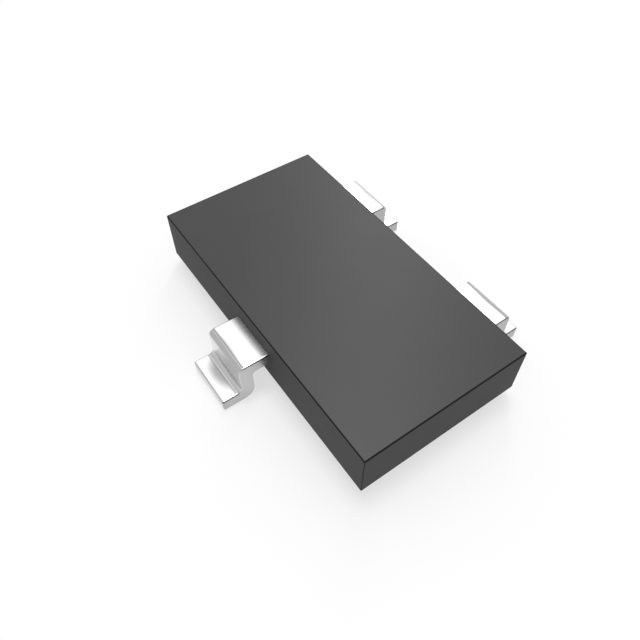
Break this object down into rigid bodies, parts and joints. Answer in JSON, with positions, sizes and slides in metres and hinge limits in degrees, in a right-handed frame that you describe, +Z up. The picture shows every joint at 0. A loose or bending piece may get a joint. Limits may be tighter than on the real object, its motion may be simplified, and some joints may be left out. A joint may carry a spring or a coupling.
{
  "type": "switching diode",
  "caption": "Small surface-mount switching diode: a flat moulded case with three gull-wing leads on its long sides.",
  "frame": {"origin": "on the board plane under the middle of the case, where the feet's undersides lie", "axes": "+X along the case, +Y from the case to the single cathode lead, +Z up from the board"},
  "size_m": [0.0028, 0.0024, 0.0006],
  "materials": {
    "mould_compound": "matte black epoxy moulding compound",
    "tinned_strip": "bright tin over copper",
    "silver_adhesive": "silver-filled epoxy",
    "silicon": "polished silicon",
    "gold": "drawn gold wire"
  },
  "bodies": {
    "root": {"mould_body": "mould_compound", "cathode_lead": "tinned_strip", "anode_lead": "tinned_strip", "unused_lead": "tinned_strip", "die_attach": "silver_adhesive", "silicon_die": "silicon", "bond_wire": "gold"}
  },
  "joints": []
}
